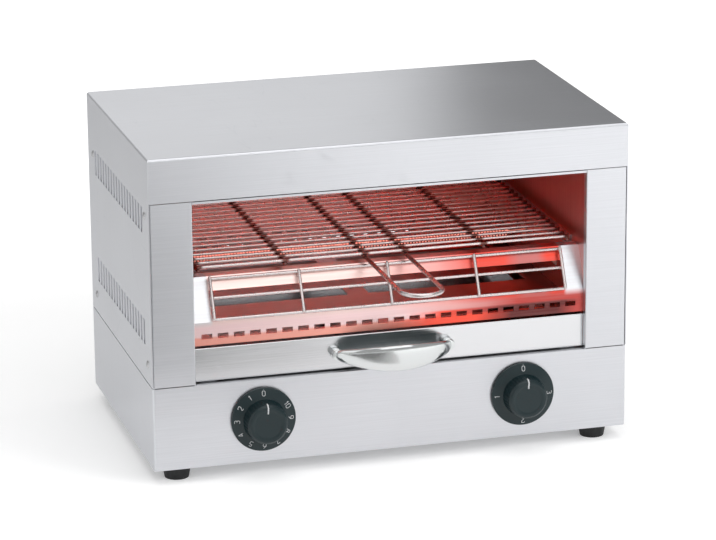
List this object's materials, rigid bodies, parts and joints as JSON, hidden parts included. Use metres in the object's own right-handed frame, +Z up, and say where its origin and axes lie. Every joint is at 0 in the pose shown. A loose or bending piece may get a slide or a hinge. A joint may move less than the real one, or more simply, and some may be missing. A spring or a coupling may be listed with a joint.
{
  "type": "countertop quartz toaster",
  "caption": "One-tier countertop toaster with quartz heaters above and below a sliding wire shelf, a pull-out crumb tray, a timer knob and a selector knob.",
  "frame": {"origin": "centre of the bounding box in X and Y, at the underside of the feet", "axes": "+X to the right seen from the front, +Y from the window to the back, +Z up"},
  "size_m": [0.4528, 0.396, 0.305],
  "materials": {
    "brushed_stainless": "long brushed grain, satin",
    "plain_stainless": "mill finish",
    "chamber_sheet": "bright sheet, heat tinted",
    "reflector_sheet": "polished",
    "bright_wire": "bright drawn wire",
    "polished_chrome": "polished",
    "knob_plastic": "moulded, fine satin",
    "foot_rubber": "moulded",
    "steel_screw": "plated",
    "shaft_steel": "turned",
    "control_case": "moulded",
    "terminal_plastic": "moulded",
    "gland_plastic": "moulded",
    "white_ceramic": "unglazed steatite",
    "bus_metal": "plated strip",
    "lead_sleeve": "silicone sleeve",
    "quartz": "clear fused quartz",
    "glowing_winding": "resistance winding at red heat"
  },
  "bodies": {
    "cabinet": {"outer_cover": "brushed_stainless", "base_housing": "brushed_stainless", "left_post": "brushed_stainless", "right_post": "brushed_stainless", "window_header": "brushed_stainless", "back_panel": "plain_stainless", "base_floor": "plain_stainless", "deck": "plain_stainless", "chamber_left_wall": "chamber_sheet", "chamber_right_wall": "chamber_sheet", "chamber_back": "chamber_sheet", "upper_reflector": "reflector_sheet", "lower_reflector": "reflector_sheet", "lower_guard": "bright_wire", "upper_guard": "bright_wire", "left_rack_runner": "plain_stainless", "right_rack_runner": "plain_stainless", "left_tray_runner": "plain_stainless", "right_tray_runner": "plain_stainless", "timer_body": "control_case", "selector_body": "control_case", "control_screws": "steel_screw", "terminal_block": "terminal_plastic", "cable_gland": "gland_plastic", "gland_nut": "gland_plastic", "feet": "foot_rubber", "foot_screws": "steel_screw", "foot_nuts": "steel_screw", "side_screws": "steel_screw", "back_screws": "steel_screw", "ceramic_end_caps": "white_ceramic", "left_bus_bar": "bus_metal", "right_lower_bus_bar": "bus_metal", "right_upper_bus_bar": "bus_metal", "timer_lead": "lead_sleeve", "selector_lead": "lead_sleeve", "left_heater_lead": "lead_sleeve", "right_lower_lead": "lead_sleeve", "right_upper_lead": "lead_sleeve", "lower_front_tube": "quartz", "lower_front_element": "glowing_winding", "lower_back_tube": "quartz", "lower_back_element": "glowing_winding", "upper_front_tube": "quartz", "upper_front_element": "glowing_winding", "upper_back_tube": "quartz", "upper_back_element": "glowing_winding"},
    "rack": {"rack": "bright_wire", "rack_handle": "bright_wire"},
    "tray": {"crumb_tray": "brushed_stainless", "tray_handle": "polished_chrome", "handle_screws": "steel_screw"},
    "timer": {"timer_knob": "knob_plastic", "timer_shaft": "shaft_steel"},
    "selector": {"selector_knob": "knob_plastic", "selector_shaft": "shaft_steel"}
  },
  "joints": [
    {"name": "rack_slide", "type": "slide", "parent": "cabinet", "child": "rack", "axis": [0, -1, 0], "range_m": [0, 0.2]},
    {"name": "tray_slide", "type": "slide", "parent": "cabinet", "child": "tray", "axis": [0, -1, 0], "range_m": [0, 0.2]},
    {"name": "timer_turn", "type": "hinge", "parent": "cabinet", "child": "timer", "pos_m": [-0.1235, -0.088, 0.055], "axis": [0, 1, 0], "range_deg": [0, 300]},
    {"name": "selector_turn", "type": "hinge", "parent": "cabinet", "child": "selector", "pos_m": [0.1235, -0.088, 0.055], "axis": [0, 1, 0], "range_deg": [0, 270]}
  ]
}
